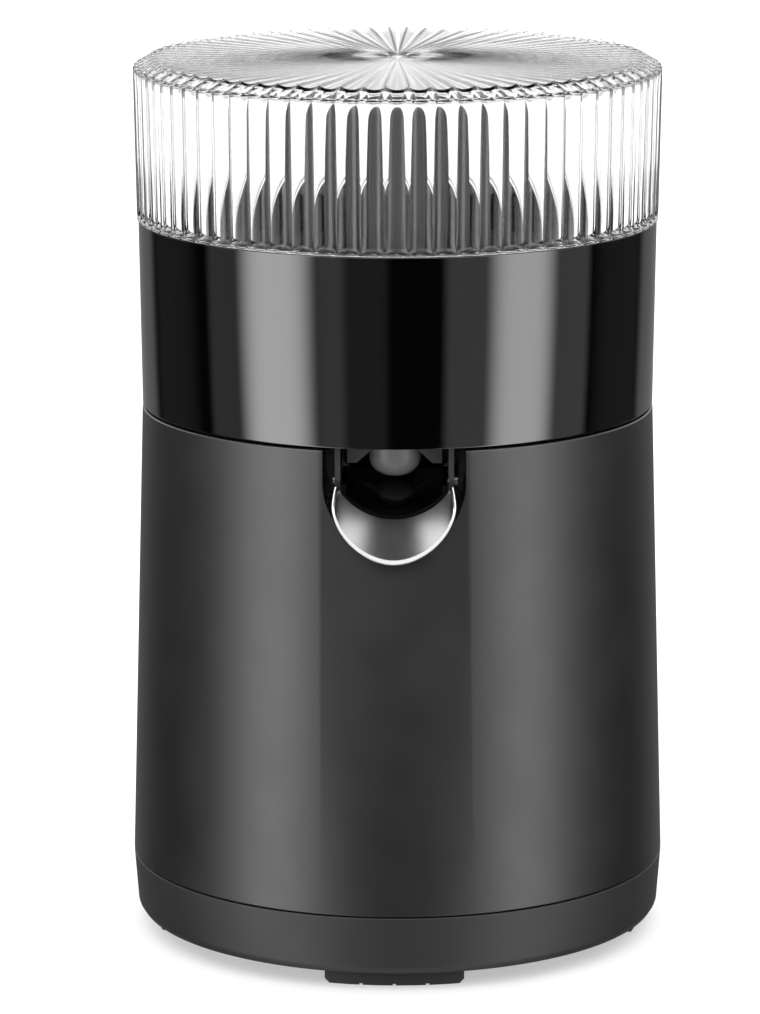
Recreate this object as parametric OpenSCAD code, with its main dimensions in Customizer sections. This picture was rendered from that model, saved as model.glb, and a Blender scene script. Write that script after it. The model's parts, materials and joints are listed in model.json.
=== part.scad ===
// Citrus press juicer: a tapered motor casing with a lift-off bowl, strainer, cone and clear lid.
// Frame: origin on the casing's axis at the height of the surface it stands on, +Z up, spout towards -Y.

/* [Casing] */
// Radius of the casing at the seam above the base ring
casing_bottom_r = 82.5; // [82:0.1:83]
// Radius of the casing at its top edge
casing_top_r = 78.5; // [78.2:0.1:79]
// Height of the seam between base ring and casing
casing_bottom_z = 23.4; // [23:0.1:24]
// Height of the casing's top edge
casing_top_z = 164.1; // [163.8:0.1:164.4]
// Wall of the casing
casing_wall = 2.4; // [2:0.1:2.6]
// Height of the rubber feet below the base pan
foot_h = 5; // [4.5:0.1:5.5]

/* [Bowl and lid] */
// Height of the bowl's top edge
bowl_top_z = 222; // [221.5:0.1:222.4]
// Radius of the bowl at its top edge
bowl_top_r = 79.2; // [79:0.1:79.4]
// Radius of the lid at its shoulder
lid_shoulder_r = 80.4; // [80.2:0.1:80.8]
// Overall height
total_h = 271.3; // [271:0.1:272]
// Radius of the cone at its foot
cone_r = 41; // [39:0.5:42]
// Height of the cone's top
cone_tip_z = 264; // [260:0.5:264]

/* [Spout] */
// Width of the notch in the casing
notch_w = 42.3; // [41.5:0.1:43.5]
// Width across the metal lip
lip_w = 36.8; // [36:0.1:38]
// Angle that the spout tips up to close
spout_tip_deg = 20; // [18:1:20]

/* [Drive] */
// Radius of the drive shaft
shaft_r = 4; // [4:0.1:4]
// Travel of the cone and shaft when pressed
press_travel = 2.5; // [2:0.1:2.5]
// Teeth on both small gears
small_teeth = 12; // [12:1:12]
// Teeth on both large gears
large_teeth = 42; // [42:1:42]
// Module of the motor's gear pair
module_1 = 0.8; // [0.8:0.1:0.8]
// Module of the output gear pair
module_2 = 1; // [1:0.1:1]
// Distance of the motor behind the casing's axis
motor_y = 30; // [29.5:0.1:30.5]

/* [Hidden] */
$fn = 96;

eps = 0.01;      // overlap that keeps cuts clean
run_fit = 0.05;  // radial clearance of a shaft in its bush
sheet = 1.2;     // wall of the metal lip

// Casing and base
base_h = casing_bottom_z - 0.3;
foot_w = 42;
foot_out_r = 75.5;
foot_in_r = 62;
pan_floor = 2.5;
pan_wall_in_r = 78.6;
base_screw_r = 68;
post_r = 5;
gland_z = 14;
cord_bore_r = 3.4;
gland_in_y = 75.6;   // inner end of the gland
gland_len = 9.5;
gland_body_r = 5.5;
gland_flange_t = 2.6;

// Spout and its niche, behind the notch
notch_r = notch_w / 2;
notch_mid_z = 154.5;
niche_wall = 1.8;
niche_back_y = -42;
hinge_y = -50;
hinge_z = 150;
spout_pin_r = 2;
channel_front_y = -75.8;
channel_half_w = 15.7;
channel_wall = 1.3;
channel_front_z = 144.2;
channel_back_z = 147;
channel_top_z = 157.5;
trough_r = 18.9;
lip_front_y = -89;
lip_bottom_z = 131.7;
lip_top_z = 154;
lip_lean_deg = 22;
outlet_y = -60;
outlet_r = 3.4;
nozzle_r = 7.65;
nozzle_top_z = 170;      // where the nozzle meets the boss under the bowl
spigot_r = 6;
spigot_top_z = 173;
nozzle_mid_z = 159;      // where the nozzle's side turns into its domed end
nozzle_drop = 5.6;
plug_top = 3.8;          // height of the stopper's face above the hinge when it closes the outlet
plug_r = 5.6;
plug_h = 5.4;
cheek_in_x = 16;
cheek_out_x = 17.6;
cheek_front_y = -72.2;   // clear of the lip's rear corners when the spout is tipped up
housing_plate_z = 168;
housing_plate_t = 2;
tab_bottom_z = 158.7;
tab_y = -66;
tab_t = 1.5;

// Deck and chimney
deck_z = 158.4;
deck_t = 2.5;
chimney_r = 11;
chimney_bore_r = 8.5;
chimney_top_z = 186;
deck_screw_angles = [20, 90, 160, 225, 315];
deck_screw_r = 72.5;

// Gearbox
stage_1 = module_1 * (small_teeth + large_teeth) / 2;
stage_2 = module_2 * (small_teeth + large_teeth) / 2;
idler_y = (stage_2 * stage_2 - stage_1 * stage_1 + motor_y * motor_y) / (2 * motor_y);
idler_x = sqrt(stage_2 * stage_2 - idler_y * idler_y);
gear_floor_z = 86;
gear_floor_t = 3;
gear_roof_z = 112;
gear_roof_t = 3;
gear_case_wall = 2;
guide_r = 7.4;
guide_bore_r = 6.1;
guide_bottom_z = 60;
lower_boss_r = 8.5;
lower_boss_top_z = 96;
bush_r = 6;
arm_z = 78;              // underside of the arm that works the switch
idler_pin_r = 2.5;
motor_shaft_r = 1.6;
can_r = 22;
can_bottom_z = 34;
case_screws = [[-23, -16], [23, -16], [-22.5, 17], [41, 24]];
can_screw_x = 7.5;
shaft_hex_low_z = 96;    // the lower hexagon drives the output gear at both ends of the travel
shaft_hex_high_z = 114.6;
shaft_top_hex_z = 188;

// Bowl, strainer and cone
bowl_bottom_z = 164.8;
bowl_bottom_r = 78.4;
bowl_wall = 2.2;
bowl_tube_r = 15.5;
bowl_tube_bore_r = 12.3;
bowl_tube_top_z = 197;
strainer_ledge_z = 204;
strainer_floor_z = 194;
strainer_floor_t = 1.8;
strainer_slots = 36;
ring_in_r = 17.4;
ring_out_r = 21;
cone_foot_z = 199;
cone_ridges = 12;
cone_flare = 12.5;
cone_flare_power = 0.4;
cone_dome_power = 5;
hub_r = 10;
insert_r = 7.5;
insert_bottom_z = 190;
shaft_top_z = 206;
hex_across = 7;
hex_play = 0.2;

// Lid
lid_bottom_r = 79.6;
lid_bottom_z = bowl_top_z + 0.1;
lid_shoulder_z = 268.3;
lid_top_r = 75.4;
lid_wall = 2.2;

// --- helpers ---

module tube(r_out, r_in, z0, z1)
  translate([0, 0, z0]) difference() {
    cylinder(r = r_out, h = z1 - z0);
    translate([0, 0, -1]) cylinder(r = r_in, h = z1 - z0 + 2);
  }

module rod(r, z0, z1) translate([0, 0, z0]) cylinder(r = r, h = z1 - z0);

module block(low, high) translate(low) cube(high - low);

// Solid of the casing's inside, so that inner parts follow its taper
module casing_inside(gap) {
  slope = (casing_top_r - casing_bottom_r) / (casing_top_z - casing_bottom_z);
  rotate_extrude() polygon([
    [0, casing_bottom_z], [casing_bottom_r - casing_wall - gap, casing_bottom_z],
    [casing_bottom_r - casing_wall - gap + slope * (casing_top_z - casing_bottom_z + 10), casing_top_z + 10],
    [0, casing_top_z + 10]]);
}

module hex_bar(across, z0, z1)
  translate([0, 0, z0]) cylinder(r = across / (2 * cos(30)), h = z1 - z0, $fn = 6);

function involute(a) = tan(a) * 180 / PI - a;

// Outline of a spur gear with involute flanks, a tooth centred on +X
function gear_outline(m, teeth, slack = 0.05, pressure = 25, steps = 4) =
  let (
    pitch = m * teeth / 2, base = pitch * cos(pressure), tip = pitch + m, root = pitch - 1.25 * m,
    start = max(base, root), half = 90 / teeth - slack / pitch * 180 / PI + involute(pressure),
    radii = [for (i = [0:steps]) start + (tip - start) * i / steps],
    turns = [for (r = radii) half - involute(acos(min(1, base / r)))])
  [for (t = [0:teeth - 1]) let (mid = t * 360 / teeth) each concat(
    root < base ? [root * [cos(mid - turns[0]), sin(mid - turns[0])]] : [],
    [for (i = [0:steps]) radii[i] * [cos(mid - turns[i]), sin(mid - turns[i])]],
    [for (i = [steps:-1:0]) radii[i] * [cos(mid + turns[i]), sin(mid + turns[i])]],
    root < base ? [root * [cos(mid + turns[0]), sin(mid + turns[0])]] : [])];

module gear(m, teeth, z0, z1, turn)
  translate([0, 0, z0]) rotate(turn) linear_extrude(z1 - z0) polygon(gear_outline(m, teeth));

// Tube of a given radius swept along a list of points, with frames that lean on the Z axis
module swept_tube(path, r, sides) {
  n = len(path);
  rings = [for (i = [0:n - 1])
    let (
      ahead = path[min(i + 1, n - 1)] - path[max(i - 1, 0)], t = ahead / norm(ahead),
      side = cross([0, 0, 1], t), u = norm(side) > 0.05 ? side / norm(side) : [1, 0, 0], v = cross(t, u))
    for (k = [0:sides - 1]) path[i] + r * (u * cos(360 * k / sides) + v * sin(360 * k / sides))];
  polyhedron(points = rings, faces = concat(
    [[for (k = [sides - 1:-1:0]) k]],
    [for (i = [0:n - 2]) for (k = [0:sides - 1])
      [i * sides + k, i * sides + (k + 1) % sides, (i + 1) * sides + (k + 1) % sides, (i + 1) * sides + k]],
    [[for (k = [0:sides - 1]) (n - 1) * sides + k]]), convexity = 6);
}

module screw(length, r, head_r, head_h) {
  translate([0, 0, -head_h]) cylinder(r = head_r, h = head_h);
  translate([0, 0, -eps]) cylinder(r = r, h = length + eps);
}

// Trough section in the X-Z plane: a shallow arc floor and straight sides
module trough_section(half_w, floor_z, arc_r, top_z)
  intersection() {
    translate([0, floor_z + arc_r]) circle(r = arc_r, $fn = 64);
    translate([-half_w, floor_z]) square([2 * half_w, top_z - floor_z]);
  }

// Deep U section of the lip's rim, its bottom at the origin
module rim_section(half_w, height)
  union() {
    translate([0, half_w]) circle(r = half_w, $fn = 48);
    translate([-half_w, half_w]) square([2 * half_w, height - half_w]);
  }

// --- base ---

module base_pan() color("#3a3a3c") difference() {
  union() {
    rotate_extrude() polygon([
      [0, foot_h], [79.4, foot_h], [80.6, foot_h + 0.5], [81.3, foot_h + 2], [casing_bottom_r, base_h],
      [79.4, base_h], [pan_wall_in_r, foot_h + pan_floor], [0, foot_h + pan_floor]]);
    for (a = [45:90:315]) rotate(a) translate([base_screw_r, 0, foot_h]) cylinder(r = post_r, h = 15);
    for (x = [-30, 30]) for (y = [-62, -24]) translate([x, y, foot_h]) cylinder(r = 3.5, h = 15);
  }
  for (a = [45:90:315]) rotate(a) translate([base_screw_r, 0, 0]) {
    rod(1.8, 0, 30);
    rod(3.6, 0, foot_h + 3);
  }
  for (x = [-30, 30]) for (y = [-62, -24]) translate([x, y, 0]) rod(1.3, 12, 30);
  for (x = [-24:6:24]) block([x - 1.2, 12, 0], [x + 1.2, 48, 12]);
  translate([0, 70, gland_z]) rotate([-90, 0, 0]) cylinder(r = gland_body_r, h = 20);
}

module foot(angle) color("#1c1c1d") rotate(angle) intersection() {
  tube(foot_out_r, foot_in_r, 0, foot_h);
  translate([-100, 0, 0]) rotate([90, 0, 90]) linear_extrude(200) polygon([
    [-foot_w / 2, foot_h], [-foot_w / 2, 1.4], [-foot_w / 2 + 1.4, 0], [foot_w / 2 - 1.4, 0],
    [foot_w / 2, 1.4], [foot_w / 2, foot_h]]);
  block([0, -50, -1], [100, 50, 20]);
}

module base_screws() color("silver")
  for (a = [45:90:315]) rotate(a) translate([base_screw_r, 0, foot_h + 3]) screw(28, 1.6, 3.3, 2.4);

module outer_shell() color("#3c3c3f") difference() {
  union() {
    rotate_extrude() polygon([
      [casing_bottom_r - casing_wall, casing_bottom_z], [casing_bottom_r, casing_bottom_z],
      [casing_top_r, casing_top_z], [casing_top_r - casing_wall, casing_top_z]]);
    intersection() {
      casing_inside(-1);
      union() {
        for (a = [45:90:315]) rotate(a) {
          translate([base_screw_r, 0, casing_bottom_z]) cylinder(r = post_r, h = 18);
          block([base_screw_r, -2, casing_bottom_z], [casing_bottom_r - 1, 2, casing_bottom_z + 18]);
        }
        for (a = deck_screw_angles) rotate(a)
          block([69, -4, deck_z - 14], [casing_bottom_r, 4, deck_z]);
      }
    }
  }
  for (a = [45:90:315]) rotate(a) translate([base_screw_r, 0, 0])
    rod(1.7, casing_bottom_z - 1, casing_bottom_z + 15);
  for (a = deck_screw_angles) rotate(a) translate([deck_screw_r, 0, 0]) rod(1.4, deck_z - 10, deck_z + 1);
  translate([0, -60, notch_mid_z]) rotate([90, 0, 0]) cylinder(r = notch_r, h = 40);
  block([-notch_r, -100, notch_mid_z], [notch_r, -60, casing_top_z + 5]);
}

module top_deck() color("#262628") difference() {
  union() {
    intersection() {
      casing_inside(0.1);
      rod(100, notch_mid_z - 30, deck_z + deck_t);
      union() {
        rod(80, deck_z, deck_z + deck_t);
        translate([0, niche_back_y + niche_wall, notch_mid_z]) rotate([90, 0, 0])
          cylinder(r = notch_r + niche_wall, h = 40);
        block([-notch_r - niche_wall, -82, notch_mid_z],
              [notch_r + niche_wall, niche_back_y + niche_wall, deck_z + 1]);
      }
    }
    rod(chimney_r, deck_z, chimney_top_z);
    for (p = case_screws) translate([p[0], p[1], 0]) rod(4, gear_roof_z + gear_roof_t, deck_z + 1);
  }
  translate([0, niche_back_y, notch_mid_z]) rotate([90, 0, 0]) cylinder(r = notch_r, h = 60);
  block([-notch_r, -110, notch_mid_z], [notch_r, niche_back_y, deck_z + 10]);
  rod(chimney_bore_r, deck_z - 10, chimney_top_z - 2);
  rod(6.5, chimney_top_z - 3, chimney_top_z + 1);
  for (p = case_screws) translate([p[0], p[1], 0]) rod(1.4, gear_roof_z, gear_roof_z + 16);
  for (a = deck_screw_angles) rotate(a) translate([deck_screw_r, 0, 0]) rod(1.7, deck_z - 1, deck_z + 5);
}

module deck_screws() color("silver")
  for (a = deck_screw_angles) rotate(a) translate([deck_screw_r, 0, deck_z + deck_t]) rotate([180, 0, 0])
    screw(10, 1.3, 2.6, 1.6);

module shaft_seal() color("#202020") difference() {
  tube(chimney_bore_r, shaft_r + 0.1, 180, chimney_top_z - 2);
  tube(7, 5, 181.5, chimney_top_z);
}

module shaft_bush_upper() color("#b08d57") tube(chimney_bore_r, shaft_r + run_fit, 170, 179.8);

module cord_gland() color("#1a1a1b") translate([0, gland_in_y, gland_z]) rotate([-90, 0, 0]) difference() {
  union() {
    cylinder(r = 6.4, h = gland_flange_t);
    cylinder(r = gland_body_r, h = gland_len);
    translate([0, 0, gland_len - gland_flange_t]) cylinder(r = 7.2, h = gland_flange_t);
  }
  translate([0, 0, -1]) cylinder(r = cord_bore_r, h = gland_len + 2);
}

// --- gearbox ---

module case_outline(grow) {
  circle(r = 24.5 + grow);
  translate([idler_x, idler_y]) circle(r = 20 + grow);
  translate([0, motor_y]) circle(r = 10 + grow);
  for (p = case_screws) translate(p) circle(r = 2.5 + grow);
}

module case_holes(r, z0, z1) for (p = case_screws) translate([p[0], p[1], 0]) rod(r, z0, z1);

module gearbox_lower() color("#d8d5cc") difference() {
  union() {
    translate([0, 0, gear_floor_z]) linear_extrude(gear_floor_t) case_outline(gear_case_wall);
    translate([0, 0, gear_floor_z]) linear_extrude(gear_roof_z - gear_floor_z) difference() {
      case_outline(gear_case_wall);
      difference() {
        case_outline(0);
        for (p = case_screws) translate(p) circle(r = 4);
      }
    }
    rod(lower_boss_r, gear_floor_z, lower_boss_top_z);
    rod(guide_r, guide_bottom_z, gear_floor_z + 1);
    block([-12, -21.5, 58], [12, -19, gear_floor_z + 1]);
  }
  rod(bush_r, gear_floor_z, lower_boss_top_z + 1);
  rod(guide_bore_r, guide_bottom_z - 1, gear_floor_z + eps);
  block([-2.2, -10, arm_z - press_travel - 1], [2.2, -3, arm_z + 3.2]);
  translate([idler_x, idler_y, 0]) rod(idler_pin_r, gear_floor_z - 1, gear_floor_z + 5);
  translate([0, motor_y, 0]) {
    rod(5, gear_floor_z - 1, gear_floor_z + 5);
    for (x = [-can_screw_x, can_screw_x]) translate([x, 0, 0]) rod(1.6, gear_floor_z - 1, gear_floor_z + 5);
  }
  case_holes(1.5, gear_floor_z - 1, gear_roof_z + 1);
}

module gearbox_upper() color("#d8d5cc") difference() {
  translate([0, 0, gear_roof_z]) linear_extrude(gear_roof_t) case_outline(gear_case_wall);
  rod(shaft_r + 0.6, gear_roof_z - 1, gear_roof_z + 5);
  translate([idler_x, idler_y, 0]) rod(idler_pin_r, gear_roof_z - 1, gear_roof_z + 5);
  case_holes(1.5, gear_roof_z - 1, gear_roof_z + 5);
}

module gearbox_screws() color("silver")
  for (p = case_screws) translate([p[0], p[1], gear_floor_z]) screw(40, 1.25, 2.8, 1.8);

module shaft_bush_lower() color("#b08d57") tube(bush_r, shaft_r + run_fit, gear_floor_z, lower_boss_top_z);

module idler_pin() color("silver") translate([idler_x, idler_y, 0])
  rod(idler_pin_r, gear_floor_z, gear_roof_z + gear_roof_t);

idler_angle = atan2(idler_y, idler_x);
motor_angle = atan2(motor_y - idler_y, -idler_x);
half_pitch = 180 / small_teeth;

module compound_gear() color("#e9e6dd") translate([idler_x, idler_y, 0]) difference() {
  union() {
    gear(module_1, large_teeth, 92, 98.5, motor_angle);
    gear(module_2, small_teeth, 98.4, 109.5, idler_angle + 180 + half_pitch);
    rod(4, 89.3, 92.1);
    rod(4, 109.4, 111.7);
  }
  rod(idler_pin_r + run_fit, 85, 115);
}

module output_gear() color("#f0ede4") difference() {
  union() {
    gear(module_2, large_teeth, 101, 109, idler_angle);
    rod(7.5, 96.3, 111.7);
  }
  hex_bar(hex_across + hex_play, 90, 115);
}

// --- press mechanism ---

module thrust_cup() color("#5a7fb0") difference() {
  union() {
    rod(5.85, 76, 84);
    block([-2, -15, arm_z], [2, -3, arm_z + 2.5]);
  }
  rod(3.2, 75, 80);
}

module spring_seat() color("#8a8a8a") rod(guide_bore_r, guide_bottom_z, 63);

module press_spring() color("silver") {
  turns = 5;
  per_turn = 14;
  wire = 0.4;
  coil_r = 4.6;
  low = 63.05 + wire;
  high = 75.95 - wire;
  swept_tube([for (i = [0:turns * per_turn])
    [coil_r * cos(i * 360 / per_turn), coil_r * sin(i * 360 / per_turn),
     low + (high - low) * i / (turns * per_turn)]], wire, 8);
}

module microswitch() color("#2a2a2a") {
  block([-11, -18.8, 59], [11, -12, 69]);
  translate([-3, -15.4, 0]) rod(1, 68, 72.9);
  for (x = [-8.5, 0, 8.5]) block([x - 1.2, -15.7, 53], [x + 1.2, -15.1, 60]);
  block([-10.5, -18.2, 68], [-7.5, -17.6, 74]);
  block([-10.5, -13.2, 68], [-7.5, -12.6, 74]);
}

lever_x = -9;
lever_z = 72;

module switch_lever() color("silver") translate([lever_x, -15.4, lever_z]) {
  rotate([90, 0, 0]) translate([0, 0, -1.8]) cylinder(r = 0.6, h = 3.6);
  rotate([0, -26, 0]) translate([0, -1.8, -0.2]) cube([14, 3.6, 0.4]);
}

module hex_round(z0, z1) intersection() {
  hex_bar(hex_across, z0, z1);
  rod(shaft_r, z0, z1);
}

module drive_shaft() color("#c9cbcd") difference() {
  union() {
    rod(shaft_r, 84.05, shaft_hex_low_z);
    hex_round(shaft_hex_low_z - eps, shaft_hex_high_z);
    rod(shaft_r, shaft_hex_high_z - eps, shaft_top_hex_z);
    hex_round(shaft_top_hex_z - eps, shaft_top_z);
  }
  tube(6, 3.2, 168.9, 169.7);
}

module shaft_clip() color("#77797c") difference() {
  tube(6.4, 3.2, 168.95, 169.65);
  block([-2.4, -8, 168], [2.4, 0, 171]);
}

// --- motor ---

module at_motor() translate([0, motor_y, 0]) children();

module motor_can() color("#9a9c9f") at_motor() difference() {
  union() {
    rod(can_r, can_bottom_z, gear_floor_z);
    rod(5, gear_floor_z - eps, gear_floor_z + gear_floor_t);
  }
  rod(can_r - 1.5, can_bottom_z - 1, gear_floor_z - 2);
  rod(3.2, 80, 95);
  for (x = [-can_screw_x, can_screw_x]) translate([x, 0, 0]) rod(1.2, 80, 95);
}

module motor_end_cap() color("#2f2f30") at_motor() difference() {
  rod(can_r, 28, can_bottom_z);
  rod(3.2, 27, 40);
  rod(can_r - 3, 30, 40);
}

module motor_magnets() color("#4a4a4c") at_motor() difference() {
  tube(can_r - 1.5, can_r - 5.5, 44, 78);
  block([-3, -30, 40], [3, 30, 80]);
}

module motor_bush_top() color("#b08d57") at_motor() tube(3.2, motor_shaft_r + run_fit, 84.2, 88.9);

module motor_bush_bottom() color("#b08d57") at_motor() tube(3.2, motor_shaft_r + run_fit, 28, 30);

module motor_brushes() color("#333333") at_motor()
  for (a = [0, 180]) rotate(a) translate([6.2, -2, 35]) cube([10, 4, 5]);

module motor_screws() color("silver") at_motor()
  for (x = [-can_screw_x, can_screw_x]) translate([x, 0, gear_floor_z + gear_floor_t]) rotate([180, 0, 0])
    screw(4.8, 1.15, 2, 1.2);

module motor_shaft() color("#c9cbcd") at_motor() rod(motor_shaft_r, 28.5, 99.5);

module rotor_core() color("#8c5a34") at_motor() difference() {
  rod(15.8, 46, 76);
  rod(motor_shaft_r, 45, 80);
  for (a = [0:72:288]) rotate(a) block([8, -1.4, 45], [20, 1.4, 80]);
}

module commutator() color("#b87333") at_motor() tube(5.8, motor_shaft_r, 34.5, 44);

module motor_pinion() color("#d5c28a") at_motor() difference() {
  gear(module_1, small_teeth, 91, 99.4, motor_angle + 180 + half_pitch);
  rod(motor_shaft_r, 90, 101);
}

// --- electrics ---

module control_board() color("#2c6b3f") difference() {
  block([-34, -66, 20], [34, -20, 21.6]);
  for (x = [-30, 30]) for (y = [-62, -24]) translate([x, y, 0]) rod(1.6, 15, 25);
}

module board_parts() color("#444a55") {
  translate([-18, -44, 21.6]) block([-9, -8, 0], [9, 8, 12]);
  translate([8, -52, 21.6]) cylinder(r = 5, h = 14);
  translate([20, -40, 21.6]) block([-4, -7, 0], [4, 7, 10]);
}

module board_screws() color("silver")
  for (x = [-30, 30]) for (y = [-62, -24]) translate([x, y, 21.6]) rotate([180, 0, 0])
    screw(7, 1.2, 2.4, 1.4);

module motor_leads() color("firebrick")
  for (x = [-8, 8]) swept_tube([for (t = [0:0.05:1])
    [x, -22 + 31.4 * t, 22.6 + 15 * sin(180 * t) * (1 - t) + 7.4 * t]], 0.9, 8);

// --- bowl and spout ---

module juice_bowl() color("#101012") difference() {
  union() {
    rotate_extrude() polygon([
      [bowl_bottom_r, bowl_bottom_z], [bowl_top_r, bowl_top_z], [bowl_top_r - bowl_wall, bowl_top_z],
      [76.5, strainer_ledge_z], [74.9, strainer_ledge_z], [74.6, 186], [73, 181], [66, 176], [54, 175],
      [18.5, 183], [bowl_tube_r, 186], [bowl_tube_r, bowl_tube_top_z], [bowl_tube_bore_r, bowl_tube_top_z],
      [bowl_tube_bore_r, 180.5], [54, 172.4], [67, 173.4], [75.4, 178], [76.2, 177], [76.2, bowl_bottom_z]]);
    translate([0, outlet_y, 0]) rod(nozzle_r, nozzle_top_z, 174);
    for (x = [-12, 12]) for (y = [-50, -68]) translate([x, y, 0])
      rod(2.5, housing_plate_z + housing_plate_t, 174);
  }
  translate([0, outlet_y, 0]) rod(spigot_r + run_fit, 150, 180);
}

module outlet_nozzle() color("#6f6f72") translate([0, outlet_y, 0]) difference() {
  union() {
    rotate_extrude() polygon(concat(
      [[0, nozzle_top_z], [nozzle_r, nozzle_top_z]],
      [for (a = [0:9:63]) [nozzle_r * cos(a), nozzle_mid_z - nozzle_drop * sin(a)]],
      [[0, nozzle_mid_z - nozzle_drop * sin(63)]]));
    rod(spigot_r, nozzle_top_z - eps, spigot_top_z);
  }
  rod(outlet_r, 150, 180);
}

module spout_housing() color("#2b2b2e") difference() {
  intersection() {
    rod(76, 140, 175);
    union() {
      block([-cheek_out_x, cheek_front_y - 3, housing_plate_z],
            [cheek_out_x, -45, housing_plate_z + housing_plate_t]);
      for (s = [-1, 1]) translate([s > 0 ? cheek_in_x : -cheek_out_x, 0, 0])
        rotate([90, 0, 90]) linear_extrude(cheek_out_x - cheek_in_x) polygon([
          [-46, housing_plate_z + 1], [cheek_front_y, housing_plate_z + 1], [cheek_front_y, 154.5],
          [-70, 149], [-54, 145.8], [-47, 146], [-46, 148]]);
      for (s = [0, 1]) mirror([s, 0, 0]) translate([0, tab_y, 0]) rotate([90, 0, 0]) linear_extrude(tab_t)
        polygon([
          [cheek_in_x + 0.5, 165.8], [cheek_in_x + 0.5, housing_plate_z + 1], [6.5, housing_plate_z + 1],
          [6.5, 163], [11.2, tab_bottom_z], [14, tab_bottom_z], [14, 165.8]]);
    }
  }
  translate([0, outlet_y, 0]) rod(nozzle_r + 0.2, 150, 180);
  translate([-30, hinge_y, hinge_z]) rotate([0, 90, 0]) cylinder(r = spout_pin_r + run_fit, h = 60);
}

// Filled channel between two upright trough sections
module channel_body(half_w, drop, arc_r, y0, y1, top_z)
  hull() {
    translate([0, y0, 0]) rotate([90, 0, 0]) linear_extrude(0.1)
      trough_section(half_w, channel_back_z - drop, arc_r, top_z);
    translate([0, y1 + 0.1, 0]) rotate([90, 0, 0]) linear_extrude(0.1)
      trough_section(half_w, channel_front_z - drop, arc_r, top_z);
  }

module spout_channel() color("#17171a") difference() {
  channel_body(channel_half_w, channel_wall, trough_r + channel_wall, hinge_y + 3.2, channel_front_y,
               channel_top_z);
  channel_body(channel_half_w - channel_wall, 0, trough_r, hinge_y + 1.8, channel_front_y - 2,
               channel_top_z + 5);
  block([-30, hinge_y - 12, channel_top_z - 4], [30, hinge_y + 10, channel_top_z + 10]);
}

module lip_body(inset, rear_y, stretch)
  hull() {
    translate([0, rear_y, 0]) rotate([90, 0, 0]) linear_extrude(0.1)
      trough_section(17.2 - inset, channel_front_z - sheet + inset, trough_r - inset, lip_top_z + stretch);
    translate([0, lip_front_y, lip_bottom_z + 0.6]) rotate([-lip_lean_deg, 0, 0]) rotate([90, 0, 0])
      linear_extrude(0.1 + stretch) translate([0, inset])
        rim_section(lip_w / 2 - inset, 24 + stretch);
  }

module spout_lip() color("#d9dadd") difference() {
  lip_body(0, channel_front_y, 0);
  lip_body(sheet, channel_front_y + 0.2, 3);
  block([-30, -110, lip_top_z], [30, -60, lip_top_z + 20]);
  block([-30, channel_front_y, 120], [30, -60, 180]);
}

module drip_plug() color("#101010")
  translate([0, hinge_y, hinge_z]) rotate([spout_tip_deg, 0, 0]) translate([0, outlet_y - hinge_y, plug_top])
    rotate([180, 0, 0]) cylinder(r = plug_r, h = plug_h);

module spout_pins() color("silver")
  for (s = [0, 1]) mirror([s, 0, 0]) translate([channel_half_w, hinge_y, hinge_z]) rotate([0, 90, 0]) {
    cylinder(r = spout_pin_r, h = 2.4);
    translate([0, 0, 2.2]) cylinder(r = spout_pin_r + 0.8, h = 0.7);
  }

// --- strainer, cone and lid ---

module strainer() color("#29292c") difference() {
  rotate_extrude() polygon([
    [17.2, strainer_floor_z], [62, strainer_floor_z], [64.5, 195.5], [71, strainer_ledge_z + 0.1],
    [76.2, strainer_ledge_z + 0.1], [76.2, 206], [70, 206], [62.5, 196.4],
    [61, strainer_floor_z + strainer_floor_t], [23.5, strainer_floor_z + strainer_floor_t], [23.5, 198],
    [21.9, 198], [21.9, strainer_floor_z + strainer_floor_t], [17.2, strainer_floor_z + strainer_floor_t]]);
  for (i = [0:strainer_slots - 1]) rotate(i * 360 / strainer_slots) {
    block([44, -1, 190], [60, 1, 200]);
    block([28, -0.8, 190], [40, 0.8, 200]);
  }
}

module slip_ring() color("#e4e2da") tube(ring_out_r, ring_in_r, 198.6, 200.2);

// Profile of the cone, grown outwards by g: a flared foot under a tall dome
function cone_profile(g) = let (n = 16, h = cone_tip_z - cone_foot_z) concat(
  [[0, cone_foot_z]],
  [for (i = [0:n]) let (t = pow(i / n, 0.8))
    [(cone_r + g - cone_flare * pow(t, cone_flare_power)) * sqrt(1 - pow(t, cone_dome_power)),
     cone_foot_z + (h + g) * t]]);

module juicing_cone() color("#37373a") difference() {
  union() {
    difference() {
      rotate_extrude() polygon(cone_profile(-3.5));
      translate([0, 0, -1]) rotate_extrude() polygon(cone_profile(-6.5));
    }
    intersection() {
      rotate_extrude() polygon(cone_profile(0));
      difference() {
        for (i = [0:cone_ridges - 1]) rotate(i * 360 / cone_ridges)
          block([4, -1.3, cone_foot_z], [cone_r + 2, 1.3, cone_tip_z]);
        translate([0, 0, -1]) rotate_extrude() polygon(cone_profile(-6));
      }
    }
    intersection() {
      rotate_extrude() polygon(cone_profile(-4));
      union() {
        tube(ring_out_r, ring_in_r, 200.3, cone_tip_z);
        rod(hub_r, cone_foot_z, cone_tip_z - 6);
      }
    }
    tube(cone_r, cone_r - 4, cone_foot_z, cone_foot_z + 2);
    rod(hub_r, insert_bottom_z, cone_foot_z + 1);
  }
  rod(insert_r, insert_bottom_z - 1, 212);
}

module cone_insert() color("#c9cbcd") difference() {
  rod(insert_r, insert_bottom_z, 212);
  hex_bar(hex_across + hex_play, insert_bottom_z - 1, shaft_top_z + 0.05);
}

module lid() color([0.9, 0.92, 0.93, 0.35]) rotate_extrude() polygon([
  [lid_bottom_r, lid_bottom_z], [lid_shoulder_r, lid_shoulder_z], [lid_top_r, total_h], [0, total_h],
  [0, total_h - lid_wall], [lid_top_r - 0.7, total_h - lid_wall],
  [lid_shoulder_r - lid_wall, lid_shoulder_z - 1.1], [lid_bottom_r - lid_wall, lid_bottom_z]]);

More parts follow.
